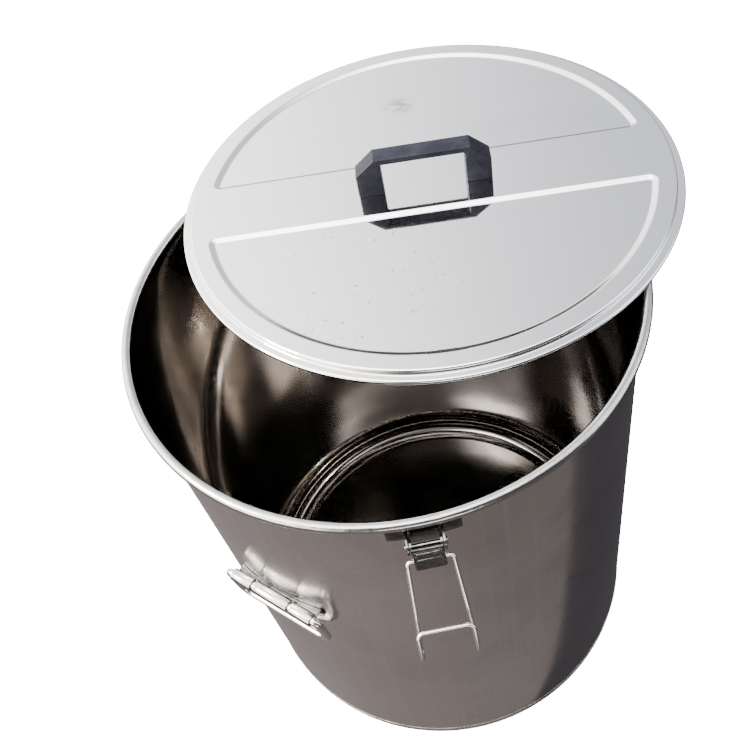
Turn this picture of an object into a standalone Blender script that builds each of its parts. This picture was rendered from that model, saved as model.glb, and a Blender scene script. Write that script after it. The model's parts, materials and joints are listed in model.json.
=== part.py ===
"""Large stainless-steel milk can with a loose lid, two wire-bail latches and two folding side handles.

The can stands on the XY plane with its axis on +Z. The latches are at the front (-Y) and the back (+Y).
The lid is drawn pushed back over the rim: its seal lies on the rim bead and its pressed top leans on
the bead behind. Units are metres, angles are degrees.
"""
import math

import bmesh
import bpy
from mathutils import Matrix, Vector

# Can body
CAN_HEIGHT = 0.555
WALL_INNER_RADIUS = 0.224
SHEET = 0.001
WALL_OUTER_RADIUS = WALL_INNER_RADIUS + SHEET
SEAM_HEIGHT = 0.034
FLOOR_CORNER_RADIUS = 0.028
CURL_OUTER_RADIUS = 0.0045
CURL_END_ANGLE = -130.0
RIM_WIRE_RADIUS = 0.003
SEGMENTS = 72
GAP = 0.0003

# Lid: heights are above the plane of the seal
LID_RADIUS = 0.2350
LID_TOP = 0.0097
LID_SHOULDER_RADIUS = 0.2275
LID_SHOULDER_ROUND = 0.003
LID_FLANGE_TOP = 0.005
LID_ROLL_RADIUS = 0.0025
LID_DISC_RADIUS = 0.2175
PANEL_DEPTH = 0.0025
PANEL_SLOPE = 0.0045
PANEL_RADIUS = 0.2115
PANEL_CHORD = 0.0345
PANEL_ARC_STEPS = 24
SEAL_INNER_RADIUS = 0.2250
SEAL_OUTER_RADIUS = 0.2308

# Where the lid lies
LID_SHIFT = 0.1310
LID_SHIFT_BEARING = 60.9
LID_TURN = -4.7
LID_REST_GAP = 0.0004

# Lid handle
GRIP_LENGTH = 0.1255
GRIP_HEIGHT = 0.0395
GRIP_DEPTH = 0.0185
GRIP_LEG = 0.024
GRIP_BAR = 0.006
GRIP_CHAMFER_LENGTH = 0.0183
GRIP_CHAMFER_HEIGHT = 0.016
GRIP_EDGE = 0.001
SCREW_OFFSET = GRIP_LENGTH / 2 - GRIP_LEG / 2
SCREW_RADIUS = 0.002
SCREW_REACH = 0.014
SCREW_HEAD_RADIUS = 0.0042
SCREW_HEAD_HEIGHT = 0.0026
WASHER_RADIUS = 0.006
WASHER_THICKNESS = 0.001

# Latches: distances are from the can's axis, outwards, and heights are from the floor
LATCH_BEARINGS = {"front": 0.0, "rear": 180.0}
LEVER_PIVOT = (0.238, CAN_HEIGHT - 0.022)
BAIL_PIVOT = (0.239, CAN_HEIGHT - 0.044)
LATCH_PLATE = 0.0012
LATCH_PLATE_TOP = CAN_HEIGHT - 0.012
LATCH_WING_BOTTOM = CAN_HEIGHT - 0.032
LATCH_TONGUE_BOTTOM = CAN_HEIGHT - 0.052
LATCH_WING_ANGLE = 7.5
LATCH_TONGUE_ANGLE = 3.75
EAR_INNER = 0.0134
EAR_OUTER = 0.0149
EAR_ROUND = 0.0065
LEVER_HALF_WIDTH = 0.0125
LEVER_SHEET = 0.0015
LEVER_ROUND = 0.006
LEVER_BOTTOM = CAN_HEIGHT - 0.051
TAB_HALF_WIDTH = 0.009
TAB_REACH = 0.003
PIN_RADIUS = 0.002
PIN_HEAD_RADIUS = 0.0032
PIN_HEAD = 0.0008
BAIL_WIRE_RADIUS = 0.00175
BAIL_LENGTH = 0.082
BAIL_HOOK_SPACING = 0.0115
BAIL_CROSSBAR_REACH = 0.056
BAIL_PIVOT_HALF = 0.018
BAIL_TIP_HALF = 0.022
BAIL_END_HALF = 0.0095
BAIL_BEND = 0.0035
BAIL_CROSSBAR_BEND = 0.006
BAIL_REST_ANGLES = {"front": 34.0, "rear": -5.0}

# Side handles
SIDE_HANDLE_BEARINGS = {"left": -41.5, "right": 138.5}
HANDLE_AXIS = (0.2335, CAN_HEIGHT - 0.188)
HANDLE_PLATE = 0.0015
HANDLE_PLATE_ANGLE = 12.5
HANDLE_PLATE_BELOW = 0.016
HANDLE_PLATE_ABOVE = 0.007
KNUCKLES = ((-0.0465, -0.0232), (-0.0198, 0.0198), (0.0232, 0.0465))
KNUCKLE_RADIUS = 0.0062
KNUCKLE_BORE = 0.0045
KNUCKLE_SIDES = 12
ROD_RADIUS = 0.004
RING_HALF_WIDTH = 0.053
RING_DROP = 0.0475
RING_TOP_BEND = 0.006
RING_BOTTOM_BEND = 0.014
RING_REST_ANGLE = -4.5


def clear_scene():
    for old in list(bpy.data.objects):
        bpy.data.objects.remove(old, do_unlink=True)


def material(name, colour, metallic, roughness):
    """A plain surface finish."""
    finish = bpy.data.materials.new(name)
    finish.use_nodes = True
    shader = finish.node_tree.nodes["Principled BSDF"]
    shader.inputs["Base Color"].default_value = (*colour, 1.0)
    shader.inputs["Metallic"].default_value = metallic
    shader.inputs["Roughness"].default_value = roughness
    return finish


def arc(centre, radius, start, end, steps):
    """Points on a circular arc, both ends included."""
    points = []
    for i in range(steps + 1):
        angle = math.radians(start + (end - start) * i / steps)
        points.append((centre[0] + radius * math.cos(angle), centre[1] + radius * math.sin(angle)))
    return points


def mesh_from(bm, name):
    """Closes the bmesh off as a mesh with its faces pointing out."""
    bmesh.ops.remove_doubles(bm, verts=bm.verts, dist=0.00001)
    bmesh.ops.recalc_face_normals(bm, faces=bm.faces)
    mesh = bpy.data.meshes.new(name)
    bm.to_mesh(mesh)
    bm.free()
    return mesh


def add_spin(bm, profile, closed):
    """Turns a profile of (radius, height) points once round the Z axis."""
    verts = [bm.verts.new((r, 0.0, z)) for r, z in profile]
    pairs = list(zip(verts, verts[1:]))
    if closed:
        pairs.append((verts[-1], verts[0]))
    edges = [bm.edges.new(pair) for pair in pairs]
    bmesh.ops.spin(
        bm, geom=verts + edges, axis=(0, 0, 1), cent=(0, 0, 0), angle=math.tau, steps=SEGMENTS, use_merge=True
    )


def turned(name, profile, closed=True):
    bm = bmesh.new()
    add_spin(bm, profile, closed)
    return mesh_from(bm, name)


def prism(name, outline, x_start, x_end):
    """Extrudes a closed outline of (outward, height) points along X. Outward is -Y."""
    bm = bmesh.new()
    base = bm.faces.new([bm.verts.new((x_start, -out, z)) for out, z in outline])
    moved = bmesh.ops.extrude_face_region(bm, geom=[base])
    tops = [v for v in moved["geom"] if isinstance(v, bmesh.types.BMVert)]
    bmesh.ops.translate(bm, verts=tops, vec=(x_end - x_start, 0, 0))
    return mesh_from(bm, name)


def rod(name, centre, radius, x_start, x_end, sides=12):
    """A round bar along X through a centre of (outward, height)."""
    return prism(name, arc(centre, radius, 0, 360 - 360 / sides, sides - 1), x_start, x_end)


def combine(name, base, steps):
    """Adds or cuts meshes in turn, each step being (operation, mesh)."""
    work = bpy.data.objects.new(name, base)
    bpy.context.collection.objects.link(work)
    helpers = []
    for operation, mesh in steps:
        helper = bpy.data.objects.new("helper", mesh)
        bpy.context.collection.objects.link(helper)
        helper.hide_render = True
        helper.display_type = "WIRE"
        helpers.append(helper)
        cut = work.modifiers.new(operation, "BOOLEAN")
        cut.operation = operation
        cut.solver = "EXACT"
        cut.object = helper
    graph = bpy.context.evaluated_depsgraph_get()
    result = bpy.data.meshes.new_from_object(work.evaluated_get(graph))
    result.name = name
    for extra in helpers + [work]:
        bpy.data.objects.remove(extra, do_unlink=True)
    return result


def show(name, mesh, finish, matrix=None, sharp=30.0):
    """Puts a finished piece in the scene."""
    piece = bpy.data.objects.new(name, mesh)
    bpy.context.collection.objects.link(piece)
    if matrix is not None:
        piece.matrix_world = matrix
    if not mesh.materials:
        mesh.materials.append(finish)
    mesh.shade_smooth()
    mesh.set_sharp_from_angle(angle=math.radians(sharp))
    return piece


def pivoted(mesh, pivot):
    """Moves a mesh so that its origin is on a pivot of (outward, height)."""
    mesh.transform(Matrix.Translation((0, pivot[0], -pivot[1])))
    return mesh


def at_bearing(bearing, pivot=(0.0, 0.0)):
    """World place of a piece built for the front, turned round the can."""
    return Matrix.Rotation(math.radians(bearing), 4, "Z") @ Matrix.Translation((0, -pivot[0], pivot[1]))


def wire(name, points, radius, finish, cyclic, matrix):
    """A bent round wire through a list of points."""
    curve = bpy.data.curves.new(name, "CURVE")
    curve.dimensions = "3D"
    curve.bevel_depth = radius
    curve.bevel_resolution = 2
    curve.use_fill_caps = not cyclic
    spline = curve.splines.new("POLY")
    spline.points.add(len(points) - 1)
    for target, point in zip(spline.points, points):
        target.co = (*point, 1.0)
    spline.use_cyclic_u = cyclic
    curve.materials.append(finish)
    piece = bpy.data.objects.new(name, curve)
    bpy.context.collection.objects.link(piece)
    piece.matrix_world = matrix
    return piece


# ---------------------------------------------------------------- can body


def build_barrel_wall(finish):
    """Straight wall whose top edge is curled outwards over the rim wire."""
    centre = (WALL_INNER_RADIUS + CURL_OUTER_RADIUS, CAN_HEIGHT - CURL_OUTER_RADIUS)
    profile = [(WALL_INNER_RADIUS, SEAM_HEIGHT)]
    profile += arc(centre, CURL_OUTER_RADIUS, 180, CURL_END_ANGLE, 10)
    profile += arc(centre, CURL_OUTER_RADIUS - SHEET, CURL_END_ANGLE, 180, 10)
    profile += [(WALL_OUTER_RADIUS, SEAM_HEIGHT)]
    show("barrel_wall", turned("barrel_wall", profile), finish)


def build_rim_wire(finish):
    centre = (WALL_INNER_RADIUS + CURL_OUTER_RADIUS, CAN_HEIGHT - CURL_OUTER_RADIUS)
    show("rim_wire", turned("rim_wire", arc(centre, RIM_WIRE_RADIUS, 0, 315, 7)), finish)


def build_floor_pan(finish):
    """Pressed dish with a rounded corner, welded edge to edge under the wall."""
    corner = (WALL_OUTER_RADIUS - FLOOR_CORNER_RADIUS, FLOOR_CORNER_RADIUS)
    edge = SEAM_HEIGHT - GAP
    profile = [(0, 0)]
    profile += arc(corner, FLOOR_CORNER_RADIUS, -90, 0, 5)
    profile += [(WALL_OUTER_RADIUS, edge), (WALL_INNER_RADIUS, edge)]
    profile += arc(corner, FLOOR_CORNER_RADIUS - SHEET, 0, -90, 5)
    profile += [(0, SHEET)]
    show("floor_pan", turned("floor_pan", profile, closed=False), finish)


# ---------------------------------------------------------------- lid


def lid_matrix():
    """Where the lid lies: pushed back, seal on the rim bead, pressed panel on the bead behind it."""
    bead = WALL_INNER_RADIUS + CURL_OUTER_RADIUS
    touch = (bead**2 + LID_SHIFT**2 - SEAL_INNER_RADIUS**2) / (2 * LID_SHIFT)
    slope = (LID_TOP - PANEL_DEPTH - SHEET) / (bead - touch)
    bearing = math.radians(LID_SHIFT_BEARING)
    along = Vector((math.cos(bearing), math.sin(bearing), 0.0))
    centre = along * LID_SHIFT
    centre.z = CAN_HEIGHT + LID_REST_GAP - (LID_SHIFT - touch) * slope
    tip = Matrix.Rotation(math.atan(slope), 4, Vector((0, 0, 1)).cross(along))
    return Matrix.Translation(centre) @ tip @ Matrix.Rotation(math.radians(LID_TURN), 4, "Z")


def panel_outline(radius, chord, side):
    """One D-shaped panel: an arc closed by a straight chord. side is 1 at the back, -1 at the front."""
    start = math.degrees(math.asin(chord / radius))
    return [(x, side * y) for x, y in arc((0, 0), radius, start, 180 - start, PANEL_ARC_STEPS)]


def add_loop(bm, points, height):
    verts = [bm.verts.new((x, y, height)) for x, y in points]
    edges = [bm.edges.new(pair) for pair in zip(verts, verts[1:] + verts[:1])]
    return verts, edges


def add_pressed_disc(bm, height):
    """One face of the lid's middle: a flat disc with two sunken D-shaped panels."""
    rim = arc((0, 0), LID_DISC_RADIUS, 0, 360 - 360 / SEGMENTS, SEGMENTS - 1)
    borders = add_loop(bm, rim, height)[1]
    for side in (1, -1):
        upper, upper_edges = add_loop(bm, panel_outline(PANEL_RADIUS, PANEL_CHORD, side), height)
        inner = panel_outline(PANEL_RADIUS - PANEL_SLOPE, PANEL_CHORD + PANEL_SLOPE, side)
        lower = add_loop(bm, inner, height - PANEL_DEPTH)[0]
        borders += upper_edges
        count = len(upper)
        for i in range(count):
            j = (i + 1) % count
            bm.faces.new((upper[i], upper[j], lower[j], lower[i]))
        bm.faces.new(lower)
    bmesh.ops.triangle_fill(bm, edges=borders, use_beauty=True)


def build_lid_pan(finish, matrix):
    shoulder = (LID_SHOULDER_RADIUS - LID_SHOULDER_ROUND, LID_TOP - LID_SHOULDER_ROUND)
    roll = (LID_RADIUS - LID_ROLL_RADIUS, LID_FLANGE_TOP - LID_ROLL_RADIUS)
    profile = [(LID_DISC_RADIUS, LID_TOP)]
    profile += arc(shoulder, LID_SHOULDER_ROUND, 90, 0, 3)
    profile += [(LID_SHOULDER_RADIUS, LID_FLANGE_TOP)]
    profile += arc(roll, LID_ROLL_RADIUS, 90, -90, 5)
    profile += arc(roll, LID_ROLL_RADIUS - SHEET, -90, 90, 5)
    profile += [(LID_SHOULDER_RADIUS - SHEET, LID_FLANGE_TOP - SHEET)]
    profile += arc(shoulder, LID_SHOULDER_ROUND - SHEET, 0, 90, 3)
    profile += [(LID_DISC_RADIUS, LID_TOP - SHEET)]
    bm = bmesh.new()
    add_spin(bm, profile, closed=False)
    add_pressed_disc(bm, LID_TOP)
    add_pressed_disc(bm, LID_TOP - SHEET)
    blank = mesh_from(bm, "lid_blank")
    holes = [("DIFFERENCE", screw_bar(side, SCREW_RADIUS + 2 * GAP, 0, LID_TOP * 2)) for side in (-1, 1)]
    show("lid_pan", combine("lid_pan", blank, holes), finish, matrix)


def screw_bar(side, radius, low, high, sides=12):
    """An upright round bar at one of the two handle screws."""
    bm = bmesh.new()
    place = Matrix.Translation((side * SCREW_OFFSET, 0, (low + high) / 2))
    bmesh.ops.create_cone(
        bm, cap_ends=True, segments=sides, radius1=radius, radius2=radius, depth=high - low, matrix=place
    )
    return mesh_from(bm, "bar")


def build_lid_seal(finish, matrix):
    top = LID_FLANGE_TOP - SHEET - GAP
    profile = [(SEAL_INNER_RADIUS, 0), (SEAL_INNER_RADIUS, top), (SEAL_OUTER_RADIUS, top), (SEAL_OUTER_RADIUS, 0)]
    show("lid_seal", turned("lid_seal", profile), finish, matrix)


def build_lid_grip(finish, matrix):
    """Bridge handle: two broad legs, a flat bar and sloping shoulders, in one moulding."""
    half = GRIP_LENGTH / 2
    inside = half - GRIP_LEG
    base = LID_TOP + GAP
    top = base + GRIP_HEIGHT
    right = [(inside, base + GRIP_HEIGHT - GRIP_BAR), (inside, base), (half, base)]
    right += [(half, top - GRIP_CHAMFER_HEIGHT), (half - GRIP_CHAMFER_LENGTH, top)]
    outline = right + [(-x, z) for x, z in reversed(right)]
    bm = bmesh.new()
    face = bm.faces.new([bm.verts.new((x, -GRIP_DEPTH / 2, z)) for x, z in outline])
    moved = bmesh.ops.extrude_face_region(bm, geom=[face])
    far = [v for v in moved["geom"] if isinstance(v, bmesh.types.BMVert)]
    bmesh.ops.translate(bm, verts=far, vec=(0, GRIP_DEPTH, 0))
    bmesh.ops.bevel(bm, geom=bm.edges[:], offset=GRIP_EDGE, segments=1, affect="EDGES")
    blank = mesh_from(bm, "grip_blank")
    reach = base + SCREW_REACH + 2 * GAP
    bores = [("DIFFERENCE", screw_bar(side, SCREW_RADIUS + GAP * 1.5, 0, reach)) for side in (-1, 1)]
    show("lid_grip", combine("lid_grip", blank, bores), finish, matrix)


def build_lid_screws(finish, matrix):
    """A screw and a washer under each leg of the lid handle."""
    under = LID_TOP - SHEET - GAP
    for side, name in ((-1, "left"), (1, "right")):
        washer = screw_bar(side, WASHER_RADIUS, under - WASHER_THICKNESS, under)
        hole = screw_bar(side, SCREW_RADIUS + 2 * GAP, 0, LID_TOP)
        show("grip_washer_" + name, combine("washer", washer, [("DIFFERENCE", hole)]), finish, matrix)
        seat = under - WASHER_THICKNESS - GAP
        head = screw_bar(side, SCREW_HEAD_RADIUS, seat - SCREW_HEAD_HEIGHT, seat)
        shank = screw_bar(side, SCREW_RADIUS, seat - SCREW_HEAD_HEIGHT / 2, LID_TOP + SCREW_REACH)
        show("grip_screw_" + name, combine("screw", head, [("UNION", shank)]), finish, matrix)


# ---------------------------------------------------------------- plates that follow the wall


def on_facets(radius, angle):
    """Radius at an angle of a round wall that is drawn with flat facets."""
    step = 360.0 / SEGMENTS
    return radius * math.cos(math.radians(step / 2)) / math.cos(math.radians(angle % step - step / 2))


def saddle_plate(name, columns, bands, thickness, bearing=0.0):
    """A plate bent round the wall. bands lists (low, high, half angle) of stacked pieces.

    Its inside follows the flat facets that the wall has at the given bearing."""
    inner = WALL_OUTER_RADIUS + GAP
    bm = bmesh.new()
    verts = {}

    def corner(angle, z, layer):
        key = (round(angle, 3), round(z, 5), layer)
        if key not in verts:
            r = on_facets(inner + layer * thickness, angle + bearing)
            turn = math.radians(angle)
            verts[key] = bm.verts.new((r * math.sin(turn), -r * math.cos(turn), z))
        return verts[key]

    for low, high, half in bands:
        angles = [a for a in columns if abs(a) <= half]
        for a, b in zip(angles, angles[1:]):
            for layer in (0, 1):
                bm.faces.new([corner(a, low, layer), corner(b, low, layer), corner(b, high, layer), corner(a, high, layer)])
    borders = [e for e in bm.edges if len(e.link_faces) == 1]
    twin = {v: verts[(k[0], k[1], 1 - k[2])] for k, v in verts.items()}
    inner_verts = {v for k, v in verts.items() if k[2] == 0}
    for edge in borders:
        a, b = edge.verts
        if a in inner_verts:
            bm.faces.new((a, b, twin[b], twin[a]))
    return mesh_from(bm, name)


# ---------------------------------------------------------------- latches


def build_latch_base(finish, place):
    """Spot-welded plate with two ears that hold the lever's pin."""
    columns = [-7.5, -5.0, -3.75, 0.0, 3.75, 5.0, 7.5]
    bands = [(LATCH_TONGUE_BOTTOM, LATCH_WING_BOTTOM, LATCH_TONGUE_ANGLE)]
    bands += [(LATCH_WING_BOTTOM, LATCH_PLATE_TOP, LATCH_WING_ANGLE)]
    plate = saddle_plate("latch_plate", columns, bands, LATCH_PLATE)
    root = WALL_OUTER_RADIUS + 0.0002
    ear = [(root, LATCH_PLATE_TOP - 0.002)]
    ear += arc(LEVER_PIVOT, EAR_ROUND, 90, -90, 6)
    ear += [(root, LATCH_WING_BOTTOM - 0.002)]
    steps = []
    for side in (-1, 1):
        steps.append(("UNION", prism("ear", ear, *sorted((side * EAR_INNER, side * EAR_OUTER)))))
    bore = rod("bore", LEVER_PIVOT, PIN_RADIUS + GAP, -0.03, 0.03)
    steps.append(("DIFFERENCE", bore))
    base = combine("latch_base", plate, steps)
    for name, matrix in place.items():
        show("latch_base_" + name, base, finish, matrix)


def build_latch_lever(finish, place):
    """Folded channel that turns on the ears' pin, with a thumb tab at its free end."""
    out, up = LEVER_PIVOT
    back, front = out - LEVER_ROUND, out + LEVER_ROUND
    side = arc(LEVER_PIVOT, LEVER_ROUND, 180, 0, 6)
    side += [(front, LEVER_BOTTOM), (back + 0.005, LEVER_BOTTOM + 0.001), (back, LEVER_BOTTOM + 0.006)]
    block = prism("lever_block", side, -LEVER_HALF_WIDTH, LEVER_HALF_WIDTH)
    web = front - LEVER_SHEET
    hollow = [(out - 0.03, LEVER_BOTTOM - 0.01), (web, LEVER_BOTTOM - 0.01), (web, up + 0.03), (out - 0.03, up + 0.03)]
    inside = LEVER_HALF_WIDTH - LEVER_SHEET
    tab = [(web + 0.0002, LEVER_BOTTOM + 0.005), (front - 0.0002, LEVER_BOTTOM + 0.005)]
    tab += [(front + TAB_REACH, LEVER_BOTTOM), (front + TAB_REACH - 0.0008, LEVER_BOTTOM - 0.001)]
    tab += [(web + 0.0002, LEVER_BOTTOM + 0.002)]
    steps = [
        ("DIFFERENCE", prism("hollow", hollow, -inside, inside)),
        ("UNION", prism("tab", tab, -TAB_HALF_WIDTH, TAB_HALF_WIDTH)),
        ("DIFFERENCE", rod("bore", LEVER_PIVOT, PIN_RADIUS + GAP, -0.03, 0.03)),
        ("DIFFERENCE", rod("bore", BAIL_PIVOT, BAIL_WIRE_RADIUS + GAP * 1.2, -0.03, 0.03)),
    ]
    lever = pivoted(combine("latch_lever", block, steps), LEVER_PIVOT)
    for name, matrix in place.items():
        show("latch_lever_" + name, lever, finish, matrix @ at_bearing(0, LEVER_PIVOT))


def build_latch_pin(finish, place):
    half = EAR_OUTER + GAP
    shaft = rod("pin", LEVER_PIVOT, PIN_RADIUS, -half - PIN_HEAD / 2, half + PIN_HEAD / 2)
    steps = []
    for start in (-half - PIN_HEAD, half):
        steps.append(("UNION", rod("head", LEVER_PIVOT, PIN_HEAD_RADIUS, start, start + PIN_HEAD)))
    pin = pivoted(combine("latch_pin", shaft, steps), LEVER_PIVOT)
    for name, matrix in place.items():
        show("latch_pin_" + name, pin, finish, matrix @ at_bearing(0, LEVER_PIVOT))


def bail_route():
    """One half of the bail, from its pivot end to the middle of its crossbar.

    Points are (sideways, along the arm, towards the hook)."""
    bend = BAIL_BEND
    corner = (BAIL_PIVOT_HALF - bend, bend)
    half = [(BAIL_END_HALF, 0.0, 0.0)]
    half += [(x, a, 0.0) for x, a in arc(corner, bend, -90, 0, 4)]
    turn = BAIL_HOOK_SPACING / 2
    half += [(BAIL_TIP_HALF, a, n) for a, n in arc((BAIL_LENGTH - turn, turn), turn, -90, 90, 6)]
    wide = BAIL_CROSSBAR_BEND
    corner = (BAIL_TIP_HALF - wide, BAIL_CROSSBAR_REACH + wide)
    half += [(x, a, BAIL_HOOK_SPACING) for x, a in arc(corner, wide, 0, -90, 4)]
    return half


def build_latch_bail(finish, place):
    """Bent wire loop whose hooked end goes over the lid's edge."""
    for name, matrix in place.items():
        angle = math.radians(BAIL_REST_ANGLES[name])
        points = []
        for x, a, n in bail_route():
            outward = a * math.sin(angle) + n * math.cos(angle)
            height = n * math.sin(angle) - a * math.cos(angle)
            points.append((x, -outward, height))
        points += [(-x, y, z) for x, y, z in reversed(points)]
        pose = matrix @ at_bearing(0, BAIL_PIVOT)
        wire("latch_bail_" + name, points, BAIL_WIRE_RADIUS, finish, False, pose)


# ---------------------------------------------------------------- side handles


def knuckle_row():
    """Rolled knuckles hung on short shelves, in a straight row in front of the curved plate."""
    out, up = HANDLE_AXIS
    top = up + KNUCKLE_RADIUS
    inward = WALL_OUTER_RADIUS - 0.012
    shelf = [(inward, top - HANDLE_PLATE), (out, top - HANDLE_PLATE), (out, top), (inward, top)]
    steps = []
    for low, high in KNUCKLES:
        steps.append(("UNION", rod("barrel", HANDLE_AXIS, KNUCKLE_RADIUS, low, high, KNUCKLE_SIDES)))
        steps.append(("UNION", prism("shelf", shelf, low, high)))
    clear = WALL_OUTER_RADIUS + GAP + HANDLE_PLATE / 3
    wall = turned("wall", [(0, up - 0.1), (clear, up - 0.1), (clear, up + 0.1), (0, up + 0.1)], closed=False)
    steps.append(("DIFFERENCE", wall))
    return combine("knuckles", steps[0][1], steps[1:])


def build_side_plate(finish, place):
    half = HANDLE_PLATE_ANGLE
    bearing = SIDE_HANDLE_BEARINGS["left"]
    step = 360.0 / SEGMENTS
    columns = [step * i - bearing % step for i in range(-3, 4)]
    columns = [-half] + [a for a in columns if abs(a) < half] + [half]
    up = HANDLE_AXIS[1]
    bands = [(up - HANDLE_PLATE_BELOW, up + HANDLE_PLATE_ABOVE, half)]
    plate = saddle_plate("side_plate", columns, bands, HANDLE_PLATE, bearing)
    bore = rod("bore", HANDLE_AXIS, KNUCKLE_BORE, -0.08, 0.08, KNUCKLE_SIDES)
    steps = [("UNION", knuckle_row()), ("DIFFERENCE", bore)]
    mount = combine("side_plate", plate, steps)
    for name, matrix in place.items():
        show("side_plate_" + name, mount, finish, matrix)


def build_side_ring(finish, place):
    """Closed ring of round bar: its upper run turns in the knuckles and its lower run is the grip."""
    top, low = RING_TOP_BEND, RING_BOTTOM_BEND
    half = arc((RING_HALF_WIDTH - top, top), top, -90, 0, 4)
    half += arc((RING_HALF_WIDTH - low, RING_DROP - low), low, 0, 90, 5)
    loop = half + [(-x, a) for x, a in reversed(half)]
    angle = math.radians(RING_REST_ANGLE)
    points = [(x, -a * math.sin(angle), -a * math.cos(angle)) for x, a in loop]
    for name, matrix in place.items():
        pose = matrix @ at_bearing(0, HANDLE_AXIS)
        wire("side_ring_" + name, points, ROD_RADIUS, finish, True, pose)


def main():
    clear_scene()
    steel = material("brushed_sheet", (0.50, 0.49, 0.47), 1.0, 0.32)
    polished = material("polished_sheet", (0.66, 0.66, 0.67), 1.0, 0.16)
    bright = material("bright_wire", (0.72, 0.72, 0.72), 1.0, 0.14)
    fitting = material("pressed_fitting", (0.45, 0.44, 0.43), 1.0, 0.25)
    plastic = material("black_plastic", (0.02, 0.02, 0.024), 0.0, 0.42)
    rubber = material("white_silicone", (0.80, 0.80, 0.78), 0.0, 0.55)

    build_barrel_wall(steel)
    build_rim_wire(bright)
    build_floor_pan(steel)

    lid = lid_matrix()
    build_lid_pan(polished, lid)
    build_lid_seal(rubber, lid)
    build_lid_grip(plastic, lid)
    build_lid_screws(bright, lid)

    latches = {name: at_bearing(bearing) for name, bearing in LATCH_BEARINGS.items()}
    build_latch_base(fitting, latches)
    build_latch_lever(fitting, latches)
    build_latch_pin(bright, latches)
    build_latch_bail(bright, latches)

    handles = {name: at_bearing(bearing) for name, bearing in SIDE_HANDLE_BEARINGS.items()}
    build_side_plate(fitting, handles)
    build_side_ring(bright, handles)


main()
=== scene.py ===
"""Looks for a large stainless-steel milk can with a loose pressed lid, two bail latches and two
folding side handles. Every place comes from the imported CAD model. Units are metres."""
import json
import math

import bmesh
import bpy
import numpy as np
from mathutils import Matrix, Vector

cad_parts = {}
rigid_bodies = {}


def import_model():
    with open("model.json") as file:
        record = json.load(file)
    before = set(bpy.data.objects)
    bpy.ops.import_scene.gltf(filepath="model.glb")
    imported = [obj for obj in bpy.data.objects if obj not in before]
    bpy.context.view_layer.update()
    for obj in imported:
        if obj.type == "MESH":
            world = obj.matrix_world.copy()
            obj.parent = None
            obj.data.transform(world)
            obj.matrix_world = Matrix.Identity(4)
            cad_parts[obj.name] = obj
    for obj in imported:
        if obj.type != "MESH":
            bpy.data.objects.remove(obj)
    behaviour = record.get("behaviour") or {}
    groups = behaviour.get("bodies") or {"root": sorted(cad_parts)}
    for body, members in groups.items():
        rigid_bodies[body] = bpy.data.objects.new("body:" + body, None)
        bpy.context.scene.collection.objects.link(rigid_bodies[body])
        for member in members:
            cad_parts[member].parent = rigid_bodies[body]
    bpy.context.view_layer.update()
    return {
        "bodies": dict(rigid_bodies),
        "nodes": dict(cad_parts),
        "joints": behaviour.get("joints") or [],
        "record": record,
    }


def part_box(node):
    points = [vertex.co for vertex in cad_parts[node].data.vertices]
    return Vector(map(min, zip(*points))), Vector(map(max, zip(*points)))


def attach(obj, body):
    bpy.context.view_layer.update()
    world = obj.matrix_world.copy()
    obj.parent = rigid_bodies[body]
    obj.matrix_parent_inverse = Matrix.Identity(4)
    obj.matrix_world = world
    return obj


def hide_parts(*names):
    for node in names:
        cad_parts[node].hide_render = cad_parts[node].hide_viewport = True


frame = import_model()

JOINTS = {joint["name"]: joint for joint in frame["joints"]}
FINE = 288  # segments round the can and the lid
PITTED = (-0.02, 0.0, 0.558)  # middle of the lid's pitted patch
SMUDGE = (0.058, 0.244, 0.560)  # grey mark near the lid's rear edge

# Can
CAN_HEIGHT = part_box("barrel_wall")[1][2]
CURL = 0.0045
SHEET = 0.001
WALL_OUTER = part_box("barrel_wall")[1][0] - 2 * CURL + SHEET
WALL_INNER = WALL_OUTER - SHEET
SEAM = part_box("barrel_wall")[0][2]
FLOOR_CORNER = 0.028
FLOOR_CROWN = 0.0007
CURL_OPENS = -130  # degrees round the rolled rim
CURL_SHUTS = 180
DENT = 0.00028  # depth of the waves in the wall
WELD_WIDTH = 0.0022
WELD_HEIGHT = 0.0007

# Lid, heights above the plane of the seal
LID_RADIUS = 0.2350
LID_TOP = 0.0097
LID_SHOULDER = 0.2275
SHOULDER_ROUND = 0.0026
FLANGE_TOP = 0.005
LID_ROLL = 0.0025
PANEL_RADIUS = 0.2115
PANEL_CHORD = 0.0345
PANEL_DEPTH = 0.0025
PANEL_SLOPE = 0.0065
CHORD_SHARE = 0.95  # the chord's slope is this much of the arc's
PANEL_FILLET = 0.0085
PANEL_LIP = 0.0005
SEAL_INNER = 0.2250
SEAL_OUTER = 0.2308
GRIP_LENGTH = 0.1255
GRIP_HEIGHT = 0.0395
GRIP_DEPTH = 0.0185
SCREW_INSET = 0.012
GAP = 0.0003  # room left between neighbouring pieces

# Latches
PLATE_RADIUS = 0.2253
LATCH_PLATE = 0.0012
LATCH_WIDE = 7.5  # half widths, in degrees at PLATE_RADIUS
LATCH_NARROW = 3.75
EAR_INNER = 0.0134
EAR_OUTER = 0.0149
LEVER_HALF = 0.0125
LEVER_ROUND = 0.006
LEVER_WALL = 0.0015
LEVER_DROP = 0.051
AXLE = 0.002
BAIL_WIRE = 0.00175
BAIL_LENGTH = 0.082
BAIL_SPACING = 0.0115
BAIL_REACH = 0.056

# Side handles
HINGE_PLATE = 0.0015
HINGE_PLATE_HALF = 12.5  # degrees at PLATE_RADIUS
KNUCKLES = ((-0.0465, -0.0232), (-0.0198, 0.0198), (0.0232, 0.0465))
KNUCKLE_RADIUS = 0.0062
KNUCKLE_BORE = 0.0045
ROD = 0.004
RING_HALF = 0.053
RING_DROP = 0.0475
RING_REST = -4.5  # degrees from hanging straight down


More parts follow.
